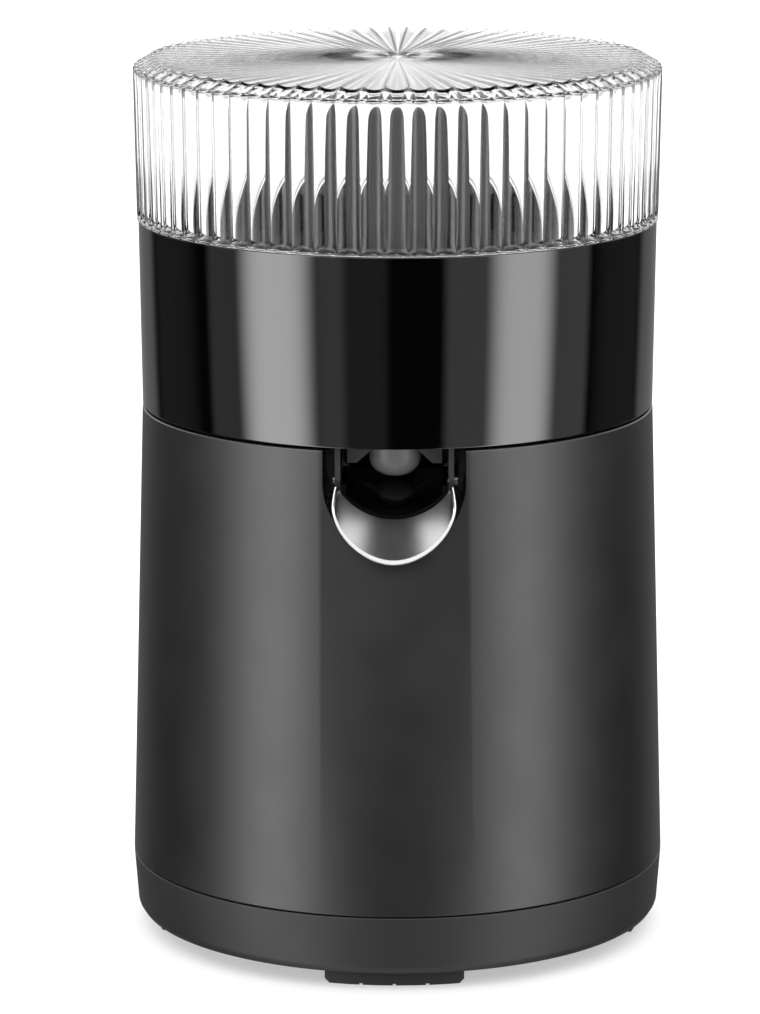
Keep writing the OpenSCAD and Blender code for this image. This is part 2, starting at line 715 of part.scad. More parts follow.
base_pan();
foot(-90);  // foot_front
foot(0);  // foot_right
foot(90);  // foot_rear
foot(180);  // foot_left
base_screws();
outer_shell();
top_deck();
deck_screws();
shaft_seal();
shaft_bush_upper();
shaft_bush_lower();
gearbox_lower();
gearbox_upper();
gearbox_screws();
idler_pin();
motor_can();
motor_end_cap();
motor_magnets();
motor_bush_top();
motor_bush_bottom();
motor_brushes();
motor_screws();
motor_leads();
control_board();
board_parts();
board_screws();
microswitch();
spring_seat();
press_spring();
cord_gland();
motor_shaft();
rotor_core();
commutator();
motor_pinion();
compound_gear();
output_gear();
thrust_cup();
drive_shaft();
shaft_clip();
switch_lever();
juice_bowl();
outlet_nozzle();
spout_housing();
spout_channel();
spout_lip();
drip_plug();
spout_pins();
strainer();
slip_ring();
juicing_cone();
cone_insert();
lid();
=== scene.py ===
import functools
import json
import math

import bmesh
import bpy
from mathutils import Matrix, Vector


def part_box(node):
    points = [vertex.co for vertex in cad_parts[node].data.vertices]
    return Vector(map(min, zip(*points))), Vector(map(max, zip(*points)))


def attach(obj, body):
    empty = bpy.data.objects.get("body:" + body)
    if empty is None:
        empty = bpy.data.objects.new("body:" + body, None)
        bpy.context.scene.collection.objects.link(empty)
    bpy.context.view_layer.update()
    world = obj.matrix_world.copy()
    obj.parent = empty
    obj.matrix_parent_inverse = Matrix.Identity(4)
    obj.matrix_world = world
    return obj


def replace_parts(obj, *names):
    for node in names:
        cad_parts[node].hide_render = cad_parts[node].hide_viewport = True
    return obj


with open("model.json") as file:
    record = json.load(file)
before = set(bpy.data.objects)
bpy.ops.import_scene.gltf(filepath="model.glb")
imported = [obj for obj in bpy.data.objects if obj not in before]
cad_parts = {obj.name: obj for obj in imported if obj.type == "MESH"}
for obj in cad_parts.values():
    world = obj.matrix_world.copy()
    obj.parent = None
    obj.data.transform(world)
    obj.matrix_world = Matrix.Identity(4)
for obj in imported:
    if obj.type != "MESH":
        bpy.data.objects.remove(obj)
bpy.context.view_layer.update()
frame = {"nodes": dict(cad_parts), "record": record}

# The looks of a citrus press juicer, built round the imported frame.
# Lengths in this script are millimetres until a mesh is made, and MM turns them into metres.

MM = 0.001
ROUND = 256          # steps round the large visible turned pieces
ROUND_SMALL = 64     # steps round the small ones
CORNER_R = 0.4       # rounding of an outline's corner that names none


# ---------------------------------------------------------------- sizes, read from the frame

def box_mm(node):
    """Lowest and highest corners of a CAD node, in millimetres."""
    low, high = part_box(node)
    return low / MM, high / MM


def radius_mm(node, z, reach=0.6):
    """Largest distance from the vertical axis of a node's vertices near height z."""
    near = [v.co for v in frame["nodes"][node].data.vertices if abs(v.co.z / MM - z) < reach]
    return max(math.hypot(c.x, c.y) for c in near) / MM


SHELL_LOW, SHELL_HIGH = box_mm("outer_shell")
SHELL_Z0, SHELL_Z1 = SHELL_LOW.z, SHELL_HIGH.z
SHELL_R0, SHELL_R1 = radius_mm("outer_shell", SHELL_Z0), radius_mm("outer_shell", SHELL_Z1)
PAN_Z0 = box_mm("base_pan")[0].z
SEAM = 0.7           # the gap between the casing's top edge and the bowl
BOWL_Z0, BOWL_Z1 = SHELL_Z1 + SEAM, box_mm("juice_bowl")[1].z
BOWL_R0, BOWL_R1 = radius_mm("juice_bowl", BOWL_Z0), radius_mm("juice_bowl", BOWL_Z1)
LID_LOW, LID_HIGH = box_mm("lid")
LID_Z0, LID_Z1 = LID_LOW.z, LID_HIGH.z
LID_R0, LID_R1 = radius_mm("lid", LID_Z0), LID_HIGH.x
CONE_LOW, CONE_HIGH = box_mm("juicing_cone")
NOZZLE_LOW, NOZZLE_HIGH = box_mm("outlet_nozzle")
NOZZLE_R = NOZZLE_HIGH.x
OUTLET_Y = (NOZZLE_LOW.y + NOZZLE_HIGH.y) / 2
LIP_LOW, LIP_HIGH = box_mm("spout_lip")


# ---------------------------------------------------------------- mesh helpers

def new_object(name, data):
    """An object in the scene that holds the given mesh or camera."""
    obj = bpy.data.objects.new(name, data)
    bpy.context.scene.collection.objects.link(obj)
    return obj


def from_data(name, points, faces, sharp_deg=30):
    """Object from points in millimetres, smooth except where faces meet at more than sharp_deg."""
    mesh = bpy.data.meshes.new(name)
    mesh.from_pydata([[c * MM for c in p] for p in points], [], faces)
    bm = bmesh.new()
    bm.from_mesh(mesh)
    bmesh.ops.recalc_face_normals(bm, faces=bm.faces)
    bm.to_mesh(mesh)
    bm.free()
    obj = new_object(name, mesh)
    smooth(obj, sharp_deg)
    return obj


def smooth(obj, sharp_deg=30):
    """Smooth shading, with sharp edges where faces meet at more than sharp_deg."""
    obj.data.shade_smooth()
    obj.data.set_sharp_from_angle(angle=math.radians(sharp_deg))


def rounded(points, steps=4):
    """A closed outline of (r, z) or (r, z, corner radius), its corners turned into curves."""
    out, n = [], len(points)
    for i, point in enumerate(points):
        p = Vector(point[:2])
        radius = point[2] if len(point) > 2 else CORNER_R
        back, ahead = Vector(points[i - 1][:2]) - p, Vector(points[(i + 1) % n][:2]) - p
        angle = back.angle(ahead) if back.length and ahead.length else math.pi
        if radius <= 0 or angle > math.radians(176):
            out.append(tuple(p))
            continue
        cut = min(radius / math.tan(angle / 2), 0.45 * back.length, 0.45 * ahead.length)
        a, b = p + back.normalized() * cut, p + ahead.normalized() * cut
        for k in range(steps + 1):
            t = k / steps
            out.append(tuple(a * (1 - t) ** 2 + p * 2 * t * (1 - t) + b * t ** 2))
    return out


def lathe(name, outline, steps=ROUND):
    """A closed outline of (r, z) turned about the vertical axis."""
    points, faces, rings = [], [], []
    for r, z in outline:
        if r < 1e-6:
            rings.append([len(points)] * steps)
            points.append((0, 0, z))
        else:
            rings.append(list(range(len(points), len(points) + steps)))
            points += [(r * math.cos(2 * math.pi * k / steps), r * math.sin(2 * math.pi * k / steps), z)
                       for k in range(steps)]
    for i, ring in enumerate(rings):
        after = rings[(i + 1) % len(rings)]
        if ring[0] == ring[-1] and after[0] == after[-1]:
            continue
        for k in range(steps):
            m = (k + 1) % steps
            corners = []
            for c in (ring[k], ring[m], after[m], after[k]):
                if c not in corners:
                    corners.append(c)
            faces.append(corners)
    return from_data(name, points, faces)


def prism(name, outline, depth):
    """An outline of (x, y) extruded along Z from 0 to depth."""
    n = len(outline)
    points = [(x, y, 0) for x, y in outline] + [(x, y, depth) for x, y in outline]
    faces = [list(range(n))[::-1], list(range(n, 2 * n))]
    faces += [[k, (k + 1) % n, n + (k + 1) % n, n + k] for k in range(n)]
    return from_data(name, points, faces)


def placed(obj, matrix):
    """Moves the mesh itself, so that the object stays at the origin."""
    obj.data.transform(matrix)
    obj.data.update()
    return obj


def moved(x=0.0, y=0.0, z=0.0):
    """The matrix of a move in millimetres."""
    return Matrix.Translation(Vector((x, y, z)) * MM)


def turned(angle_deg, axis="Z"):
    """The matrix of a turn about an axis through the origin."""
    return Matrix.Rotation(math.radians(angle_deg), 4, axis)


def block(name, low, high):
    """A box between two corners."""
    obj = prism(name, [(low[0], low[1]), (high[0], low[1]), (high[0], high[1]), (low[0], high[1])],
                high[2] - low[2])
    return placed(obj, moved(z=low[2]))


def rod(name, r, z0, z1, x=0.0, y=0.0):
    """An upright cylinder from z0 to z1."""
    obj = lathe(name, [(0, z0), (r, z0), (r, z1), (0, z1)], ROUND_SMALL)
    return placed(obj, moved(x, y))


def along_y(obj, y=0.0, z=0.0):
    """Turns a piece made along +Z to lie along -Y, with its start at the given place."""
    return placed(obj, moved(y=y, z=z) @ turned(90, "X"))


def along_x(obj, x=0.0):
    """Turns a piece drawn in Y and Z and made along +Z to lie along +X, with its start at x."""
    turn = Matrix(((0, 0, 1, 0), (1, 0, 0, 0), (0, 1, 0, 0), (0, 0, 0, 1)))
    return placed(obj, moved(x) @ turn)


def apply_modifiers(obj):
    """Replaces the object's mesh with what its modifiers make of it."""
    graph = bpy.context.evaluated_depsgraph_get()
    mesh = bpy.data.meshes.new_from_object(obj.evaluated_get(graph))
    obj.modifiers.clear()
    obj.data = mesh
    return obj


def combined(target, others, operation):
    """Boolean of target with each of others, which are used up."""
    for other in others:
        step = target.modifiers.new("combine", "BOOLEAN")
        step.object, step.operation, step.solver = other, operation, "EXACT"
        apply_modifiers(target)
        bpy.data.objects.remove(other)
    return target


def cut(target, *others):
    return combined(target, others, "DIFFERENCE")


def joined(target, *others):
    return combined(target, others, "UNION")


def merged(target, *others):
    """Adds the others' surfaces to target's mesh, which may pass through each other."""
    bm = bmesh.new()
    for obj in (target, *others):
        bm.from_mesh(obj.data)
    bm.to_mesh(target.data)
    bm.free()
    for obj in others:
        bpy.data.objects.remove(obj)
    return target


def bevelled(obj, width, steps=3, above_deg=32):
    """Rounds every edge sharper than above_deg."""
    step = obj.modifiers.new("round", "BEVEL")
    step.width, step.segments, step.limit_method = width * MM, steps, "ANGLE"
    step.angle_limit, step.harden_normals = math.radians(above_deg), False
    step.use_clamp_overlap = True
    apply_modifiers(obj)
    smooth(obj)
    return obj


def arc(cx, cy, r, start_deg, end_deg, steps):
    """Points of an arc, in degrees from +X."""
    angles = [math.radians(start_deg + (end_deg - start_deg) * k / steps) for k in range(steps + 1)]
    return [(cx + r * math.cos(a), cy + r * math.sin(a)) for a in angles]


def turned_copies(make, count):
    """One mesh of count pieces made by make(), spread round the vertical axis."""
    bm = bmesh.new()
    for k in range(count):
        piece = placed(make(), turned(360 * k / count))
        bm.from_mesh(piece.data)
        bpy.data.objects.remove(piece)
    mesh = bpy.data.meshes.new("copies")
    bm.to_mesh(mesh)
    bm.free()
    return new_object("copies", mesh)


# ---------------------------------------------------------------- materials

class Nodes:
    """Small helper that builds a material's nodes on its own Principled shader."""

    def __init__(self, name):
        self.material = bpy.data.materials.new(name)
        self.material.use_nodes = True
        self.tree = self.material.node_tree
        self.shader = self.tree.nodes["Principled BSDF"]
        self.place = self.tree.nodes.new("ShaderNodeTexCoord").outputs["Object"]

    def set(self, **values):
        for key, value in values.items():
            self.shader.inputs[key.replace("_", " ")].default_value = value
        return self

    def link(self, output, target):
        self.tree.links.new(output, target)

    def noise(self, scale, detail=3.0, stretch=None):
        node = self.tree.nodes.new("ShaderNodeTexNoise")
        node.inputs["Scale"].default_value = scale
        node.inputs["Detail"].default_value = detail
        source = self.place
        if stretch:
            mapping = self.tree.nodes.new("ShaderNodeMapping")
            mapping.inputs["Scale"].default_value = stretch
            self.link(self.place, mapping.inputs["Vector"])
            source = mapping.outputs["Vector"]
        self.link(source, node.inputs["Vector"])
        return node.outputs["Fac"]

    def ramp(self, value, low, high, from_low=0.3, from_high=0.7):
        """The value, a noise that mostly lies between from_low and from_high, spread from low to high."""
        node = self.tree.nodes.new("ShaderNodeMapRange")
        ends = {"From Min": from_low, "From Max": from_high, "To Min": low, "To Max": high}
        for key, number in ends.items():
            node.inputs[key].default_value = number
        self.link(value, node.inputs["Value"])
        return node.outputs["Result"]

    def colours(self, value, low, high):
        node = self.tree.nodes.new("ShaderNodeMix")
        node.data_type = "RGBA"
        node.inputs["A"].default_value = (*low, 1)
        node.inputs["B"].default_value = (*high, 1)
        self.link(value, node.inputs["Factor"])
        self.link(node.outputs["Result"], self.shader.inputs["Base Color"])
        return self

    def bump(self, value, distance):
        """Grain in the surface, its depth in millimetres."""
        node = self.tree.nodes.new("ShaderNodeBump")
        node.inputs["Distance"].default_value = distance * MM
        self.link(value, node.inputs["Height"])
        self.link(node.outputs["Normal"], self.shader.inputs["Normal"])
        return self


def plastic(name, low, high, rough, grain=2500, depth=0.01, metallic=0.0, **more):
    """Moulded or painted surface: fine grain in colour, roughness and height."""
    n = Nodes(name).set(Metallic=metallic, **more)
    n.colours(n.ramp(n.noise(grain), 0, 1), low, high)
    n.link(n.ramp(n.noise(60, detail=2), rough[0], rough[1]), n.shader.inputs["Roughness"])
    n.bump(n.noise(grain, detail=4), depth)
    return n.material


def metal(name, low, high, rough, stretch, depth=0.004):
    """Turned or brushed metal: streaks along one direction."""
    n = Nodes(name).set(Metallic=1.0)
    streaks = n.noise(900, detail=4, stretch=stretch)
    n.colours(n.ramp(streaks, 0, 1), low, high)
    n.link(n.ramp(streaks, rough[0], rough[1]), n.shader.inputs["Roughness"])
    n.bump(streaks, depth)
    return n.material


def clear_plastic():
    """Clear styrene with the faintest waviness."""
    n = Nodes("clear_lid").set(Transmission_Weight=1.0, IOR=1.49)
    n.colours(n.noise(20), (0.985, 0.99, 0.99), (1.0, 1.0, 1.0))
    n.link(n.ramp(n.noise(400), 0.0, 0.012), n.shader.inputs["Roughness"])
    n.bump(n.noise(90, detail=1), 0.006)
    return n.material


def grey(v, blue=1.0):
    """A linear grey, with blue above 1 for a cooler one."""
    return (v, v, v * blue)


MATERIALS = {
    "satin_anthracite": plastic("satin_anthracite", grey(0.078, 1.03), grey(0.094, 1.03), (0.4, 0.44),
                                grain=5200, depth=0.004, metallic=1.0),
    "base_anthracite": plastic("base_anthracite", grey(0.003, 1.02), grey(0.005, 1.02), (0.52, 0.56),
                               grain=4200, depth=0.006, IOR=1.65),
    "gloss_black": plastic("gloss_black", grey(0.0008), grey(0.0016), (0.02, 0.035), grain=300,
                           depth=0.0006, IOR=2.0),
    "clear_lid": clear_plastic(),
    "cone_anthracite": plastic("cone_anthracite", grey(0.045), grey(0.055), (0.3, 0.36), grain=1800,
                               depth=0.008),
    "black_plastic": plastic("black_plastic", grey(0.001), grey(0.002), (0.2, 0.26), grain=2600, depth=0.006,
                             Specular_IOR_Level=0.5),
    "grey_plastic": plastic("grey_plastic", grey(0.17), grey(0.2), (0.36, 0.42), grain=2200, depth=0.008),
    "spout_steel": metal("spout_steel", grey(0.57), grey(0.61), (0.23, 0.26), (12, 1, 1)),
    "rubber_black": plastic("rubber_black", grey(0.006), grey(0.01), (0.6, 0.72), grain=1500, depth=0.03),
    "silicone_black": plastic("silicone_black", grey(0.002), grey(0.003), (0.7, 0.8), grain=1200, depth=0.01,
                              Specular_IOR_Level=0.3),
    "steel": metal("steel", grey(0.5), grey(0.62), (0.2, 0.3), (1, 1, 14)),
    "sintered_bronze": plastic("sintered_bronze", (0.4, 0.24, 0.1), (0.52, 0.33, 0.16), (0.35, 0.5),
                               grain=3000, depth=0.02, metallic=1.0),
    "nylon": plastic("nylon", (0.74, 0.71, 0.62), (0.8, 0.78, 0.7), (0.4, 0.5), grain=1500, depth=0.01),
    "acetal": plastic("acetal", (0.8, 0.79, 0.73), (0.86, 0.85, 0.8), (0.3, 0.38), grain=1500, depth=0.006),
    "zinc_steel": metal("zinc_steel", grey(0.4, 1.03), grey(0.5, 1.03), (0.3, 0.42), (1, 1, 6)),
    "copper": metal("copper", (0.5, 0.2, 0.09), (0.66, 0.3, 0.15), (0.25, 0.4), (1, 1, 20), depth=0.05),
    "board_green": plastic("board_green", (0.02, 0.12, 0.04), (0.03, 0.16, 0.05), (0.25, 0.35), grain=900,
                           depth=0.01),
    "red_lead": plastic("red_lead", (0.4, 0.015, 0.01), (0.5, 0.03, 0.02), (0.3, 0.4), grain=900,
                        depth=0.004),
    "blue_plastic": plastic("blue_plastic", (0.06, 0.16, 0.36), (0.09, 0.22, 0.46), (0.35, 0.45), grain=1800,
                            depth=0.01),
}
SLOT_OF = {s["node"]: s["material_slot"] for s in frame["record"]["subparts"]}
BODY_OF = {n: b for b, members in frame["record"]["behaviour"]["bodies"].items() for n in members}


def dress(obj, slot):
    """Gives the object the one material of its slot."""
    obj.data.materials.clear()
    obj.data.materials.append(MATERIALS[slot])
    return obj


def stands_for(obj, *nodes):
    """The piece takes the name, finish and body of the CAD nodes that it replaces."""
    dress(obj, SLOT_OF[nodes[0]])
    obj.name = "v_" + nodes[0]
    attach(obj, BODY_OF[nodes[0]])
    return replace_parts(obj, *nodes)


# ---------------------------------------------------------------- casing and base

CASING_WALL = 2.4
NOTCH_R = 21.15
NOTCH_MID_Z = 154.5
SCREW_R = 68.0
GLAND_Z = 14.0


def casing_r(z):
    """Outer radius of the tapered casing at height z."""
    return SHELL_R0 + (SHELL_R1 - SHELL_R0) * (z - SHELL_Z0) / (SHELL_Z1 - SHELL_Z0)


def notch_cutter(r, front_y, back_y, top_z):
    """A U-shaped bar along Y, round below and open above, to cut the notch and the niche."""
    outline = [(-r, top_z), (-r, NOTCH_MID_Z)] + arc(0, NOTCH_MID_Z, r, 180, 360, 48)[1:-1]
    outline += [(r, NOTCH_MID_Z), (r, top_z)]
    return along_y(prism("cutter", outline, back_y - front_y), y=back_y)


def make_shell():
    """The tapered casing with the notch in its front."""
    shell = lathe("shell", rounded([
        (SHELL_R0, SHELL_Z0, 0.5), (SHELL_R1, SHELL_Z1, 0.6), (SHELL_R1 - CASING_WALL, SHELL_Z1, 0.3),
        (SHELL_R0 - CASING_WALL, SHELL_Z0, 0.2)]))
    cut(shell, notch_cutter(NOTCH_R, -100, -60, SHELL_Z1 + 5))
    bevelled(shell, 0.45)
    stands_for(shell, "outer_shell")


def make_pan():
    """The base pan: ring, spigot into the casing, floor with vents, screw wells and the gland's hole."""
    r_top, top = SHELL_R0, SHELL_Z0 - 0.35
    spigot_out, spigot_in, spigot_top = r_top - 2.6, r_top - 3.9, top + 3
    floor_top = PAN_Z0 + 2.5
    pan = lathe("pan", rounded([
        (0, PAN_Z0), (r_top - 2.6, PAN_Z0, 1.2), (r_top - 1.2, PAN_Z0 + 2.2, 2.5), (r_top, top, 0.5),
        (spigot_out, top, 0.1), (spigot_out, spigot_top, 0.2), (spigot_in, spigot_top, 0.2),
        (spigot_in, floor_top, 0.5), (0, floor_top)]))
    vents = [block("vent", (x - 1.2, 12, 0), (x + 1.2, 48, 12)) for x in range(-24, 25, 6)]
    wells = [rod("well", 3.6, PAN_Z0 - 2, PAN_Z0 + 2.2, SCREW_R * math.cos(a), SCREW_R * math.sin(a))
             for a in (math.radians(45 + 90 * k) for k in range(4))]
    gland = along_y(rod("gland", 5.5, 0, 20), y=90, z=GLAND_Z)
    cut(pan, *vents, *wells, gland)
    bevelled(pan, 0.25, steps=2)
    stands_for(pan, "base_pan")


def make_foot(node, turn_deg):
    """A rubber foot: a curved block with soft lower edges and a shallow tread."""
    low, high = box_mm("foot_front")
    r_out, r_in, top, half, chamfer = -low.y, 62.0, high.z, high.x, 1.4
    foot = lathe("foot", [(r_in, 0), (r_out, 0), (r_out, top), (r_in, top)])
    keep = along_y(prism("keep", [(-half, top), (-half, chamfer), (-half + chamfer, 0), (half - chamfer, 0),
                                  (half, chamfer), (half, top)], 40), y=-50)
    combined(foot, [keep], "INTERSECT")
    bevelled(foot, 0.8, steps=4, above_deg=40)
    for k in (-1, 0, 1):
        cut(foot, block("tread", (k * 10 - 0.5, -90, -1), (k * 10 + 0.5, -50, 0.5)))
    smooth(foot)
    placed(foot, turned(turn_deg))
    stands_for(foot, node)


def make_gland():
    """The rubber gland for the cord: a grooved bush with a flange on either side of the wall."""
    low, high = box_mm("cord_gland")
    length, r_out, bore, neck, lip, flange = high.y - low.y, high.x, 3.4, 5.4, 6.4, 2.6
    gland = lathe("gland", rounded([
        (bore, 0, 0.3), (lip, 0, 0.5), (lip, flange, 0.4), (neck, flange, 0.1),
        (neck, length - flange, 0.1), (r_out, length - flange, 0.3), (r_out, length - 1.2, 0.7),
        (r_out - 1.4, length, 0.5), (bore, length, 0.5)]), ROUND_SMALL)
    along_y(gland)
    placed(gland, moved(0, low.y, GLAND_Z) @ turned(180))
    stands_for(gland, "cord_gland")


# ---------------------------------------------------------------- bowl and outlet

BOSS_Z0 = 170        # lower end of the boss, where the nozzle's shoulder seats
SPIGOT_R = 6
LEDGE_Z = 204        # the ledge that the strainer's rim lies on
SKIRT_R = 76.2       # inside of the bowl's skirt, and the strainer's rim


def make_bowl():
    """The gloss bowl: skirt, rim, moat, central tube and the boss that holds the outlet."""
    wall, tube_out, tube_bore, tube_top = 2.2, 15.5, 12.3, 197
    bowl = lathe("bowl", rounded([
        (BOWL_R0, BOWL_Z0, 0.5), (BOWL_R1, BOWL_Z1, 0.45), (BOWL_R1 - wall, BOWL_Z1, 0.5),
        (76.5, LEDGE_Z, 0.3), (74.9, LEDGE_Z, 0.5),
        (74.6, 186, 4), (73, 181, 5), (66, 176, 4), (54, 175, 4), (18.5, 183, 3),
        (tube_out, 186, 2), (tube_out, tube_top, 0.6), (tube_bore, tube_top, 0.4), (tube_bore, 180.5, 0.6),
        (54, 172.4, 4), (67, 173.4, 4), (75.4, 178, 0.6), (SKIRT_R, 177, 0.6), (SKIRT_R, BOWL_Z0, 0.4)]))
    boss_top = 174.2
    boss = lathe("boss", rounded([
        (0, BOSS_Z0), (NOZZLE_R, BOSS_Z0, 0.3), (NOZZLE_R, boss_top), (0, boss_top)]), ROUND_SMALL)
    joined(bowl, placed(boss, moved(y=OUTLET_Y)))
    cut(bowl, rod("hole", SPIGOT_R + 0.05, 150, 180, y=OUTLET_Y))
    smooth(bowl)
    stands_for(bowl, "juice_bowl")


def make_nozzle():
    """The grey outlet: a tube whose lower end turns in to a domed mouth."""
    bore, top_z, mid_z, drop = 3.4, NOZZLE_HIGH.z, 159, 5.6
    mouth_deg = math.degrees(math.acos((bore + 0.1) / NOZZLE_R))
    dome = [(NOZZLE_R * math.cos(math.radians(a)), mid_z - drop * math.sin(math.radians(a)))
            for a in (mouth_deg * k / 20 for k in range(21))]
    outline = [(bore, top_z), (SPIGOT_R, top_z), (SPIGOT_R, BOSS_Z0), (NOZZLE_R, BOSS_Z0)] + dome
    outline += [(bore, dome[-1][1] + 0.1)]
    nozzle = lathe("nozzle", outline, 96)
    placed(nozzle, moved(y=OUTLET_Y))
    stands_for(nozzle, "outlet_nozzle")


# ---------------------------------------------------------------- spout

HINGE = (0.0, -50.0, 150.0)
SPOUT_TIP_DEG = 20.0                                 # how far the spout tips up until its stopper seats
CHANNEL_FRONT_Y = -75.8
TROUGH_R = 18.9


def trough(half_w, floor_z, arc_r, top_z):
    """A shallow arc floor with straight sides, from top left round to top right, as (x, z)."""
    edge = math.degrees(math.asin(half_w / arc_r))
    side_z = floor_z + arc_r * (1 - math.cos(math.radians(edge)))
    sides = 10
    left = [(-half_w, top_z + (side_z - top_z) * k / sides) for k in range(sides)]
    floor = arc(0, floor_z + arc_r, arc_r, 270 - edge, 270 + edge, 40)
    return left + floor + [(-x, z) for x, z in reversed(left)]


def make_channel():
    """The black trough under the outlet, open at the front and the top."""
    top, wall, front, back = 153.5, 1.3, CHANNEL_FRONT_Y, HINGE[1] + 3.0
    half_w, floor_front, fall, stations = 15.7, 144.2, 2.8, 8
    points, faces, rings = [], [], []
    for k in range(stations + 1):
        y, floor = front + (back - front) * k / stations, floor_front + fall * (k / stations)
        outer = trough(half_w, floor - wall, TROUGH_R + wall, top)
        inner = trough(half_w - wall, floor, TROUGH_R, top)
        ring = outer + inner[::-1]
        rings.append(list(range(len(points), len(points) + len(ring))))
        points += [(x, y, z) for x, z in ring]
    for a, b in zip(rings, rings[1:]):
        n = len(a)
        faces += [[a[k], a[(k + 1) % n], b[(k + 1) % n], b[k]] for k in range(n)]
    half = len(rings[0]) // 2
    for ring in (rings[0], rings[-1]):
        faces += [[ring[k], ring[k + 1], ring[2 * half - 2 - k], ring[2 * half - 1 - k]]
                  for k in range(half - 1)]
    channel = from_data("channel", points, faces)
    bevelled(channel, 0.35, above_deg=50)
    backing = trough(half_w - 0.1, floor_front + fall + 0.1 - wall, TROUGH_R + wall, top - 0.1)
    merged(channel, along_y(prism("backing", backing, 1.6), y=back - 0.1))
    smooth(channel)
    stands_for(channel, "spout_channel")


def lip_curves(steps):
    """The lip's rear edge against the channel, its free rim and the rim's bead, as matching rows."""
    rear, rim, beads = [], [], []
    rear_half, rear_r, rear_z = 16.7, 20.0, 143.2
    rim_half, rim_depth, rim_power = LIP_HIGH.x - 0.45, 15.5, 1.78
    end_rise, end_part = 6.0, 0.2
    thin, swell = 0.42, 0.46
    lean = math.tan(math.radians(22))
    for k in range(steps + 1):
        reach = (1 + end_part) * (-1 + 2 * k / steps)          # beyond 1 lie the upright ends
        over = max(0, abs(reach) - 1) / end_part
        share = math.sin(max(-1, min(1, reach)) * math.pi / 2)
        x = rear_half * share
        rise = rear_r - math.sqrt(rear_r ** 2 - x ** 2)
        rear.append(Vector((x, CHANNEL_FRONT_Y - 0.1, rear_z + rise + 1.2 * over)))
        depth = rim_depth * (1 - (1 - abs(share) ** rim_power) ** (1 / rim_power)) + end_rise * over
        rim_x = math.copysign(rim_half * abs(share) - 0.9 * over ** 1.5, reach)
        rim.append(Vector((rim_x, LIP_LOW.y + 0.35 + depth * lean, LIP_LOW.z + 0.2 + depth)))
        beads.append(thin + swell * max(0, 1 - abs(share)) ** 0.45)
    return rear, rim, beads


def make_lip():
    """The satin steel lip: a scoop between the channel and a rolled rim."""
    steps, across, turns, wall = 120, 12, 24, 0.8
    flat_down, flat_out, flat_at = 0.454, 0.891, 0.55     # the bead is flattened where it faces the front
    rear, rim, beads = lip_curves(steps)
    points, faces, rings = [], [], []
    for k in range(steps + 1):
        a, b, bead = rear[k], rim[k], beads[k]
        ahead = (rim[min(k + 1, steps)] - rim[max(k - 1, 0)]).normalized()
        down = (b - a).normalized()
        out = down.cross(ahead).normalized()
        length = (b - a).length - bead
        start = math.pi - math.asin(min(1, wall / 2 / bead))
        ring = [a + down * length * i / across + out * wall / 2 for i in range(across)]
        centre = a + down * length
        for i in range(turns + 1):
            turn = start * (1 - 2 * i / turns)
            u, v = math.cos(turn), math.sin(turn)
            proud = max(0, flat_down * u + flat_out * v - flat_at)
            ring.append(centre + (down * (u - flat_down * proud) + out * (v - flat_out * proud)) * bead)
        ring += [a + down * length * i / across - out * wall / 2 for i in range(across - 1, -1, -1)]
        rings.append(list(range(len(points), len(points) + len(ring))))
        points += [tuple(p) for p in ring]
    for r0, r1 in zip(rings, rings[1:]):
        n = len(r0)
        faces += [[r0[k], r0[(k + 1) % n], r1[(k + 1) % n], r1[k]] for k in range(n)]
    faces += [rings[0][::-1], rings[-1]]
    stands_for(from_data("lip", points, faces, 45), "spout_lip")


def make_spout_housing():
    """Cheeks, top plate and the two chamfered tabs that carry the spout under the bowl."""
    in_x, out_x, plate_z, front = 16.0, 17.6, 168.0, -72.2
    housing = block("plate", (-out_x, front, plate_z), (out_x, -45, plate_z + 2))
    side = rounded([(-46, plate_z + 1, 0), (front, plate_z + 1, 0), (front, 154.5, 3), (-70, 149, 3),
                    (-54, 145.8, 3), (-47, 146, 1.5), (-46, 148, 1.5)], steps=5)
    cheeks = [along_x(prism("cheek", side, out_x - in_x), x=x) for x in (in_x, -out_x)]
    tab = [(in_x + 0.4, 165.8), (in_x + 0.4, plate_z + 1), (6.5, plate_z + 1), (6.5, 163), (11.2, 158.7),
           (14, 158.7), (14, 165.8)]
    tabs = [along_y(prism("tab", [(s * x, z) for x, z in tab], 1.5), y=-66) for s in (1, -1)]
    joined(housing, *cheeks, *tabs)
    cut(housing, rod("hole", NOZZLE_R + 0.2, 150, 180, y=OUTLET_Y))
    bevelled(housing, 0.35, above_deg=35)
    stands_for(housing, "spout_housing")


def make_plug():
    """The silicone stopper: a post with a domed pad and a rib round it."""
    r = 5.5
    plug = lathe("plug", rounded([
        (0, 0), (r - 1.2, 0, 0.2), (r - 1.2, 3.0, 0.4), (r, 3.4, 0.4), (r, 4.4, 0.4), (r - 1.5, 5.0, 0.8),
        (0, 5.35)]), ROUND_SMALL)
    placed(plug, moved(*HINGE) @ turned(SPOUT_TIP_DEG, "X") @ moved(y=OUTLET_Y - HINGE[1], z=-1.6))
    stands_for(plug, "drip_plug")


# ---------------------------------------------------------------- strainer and cone

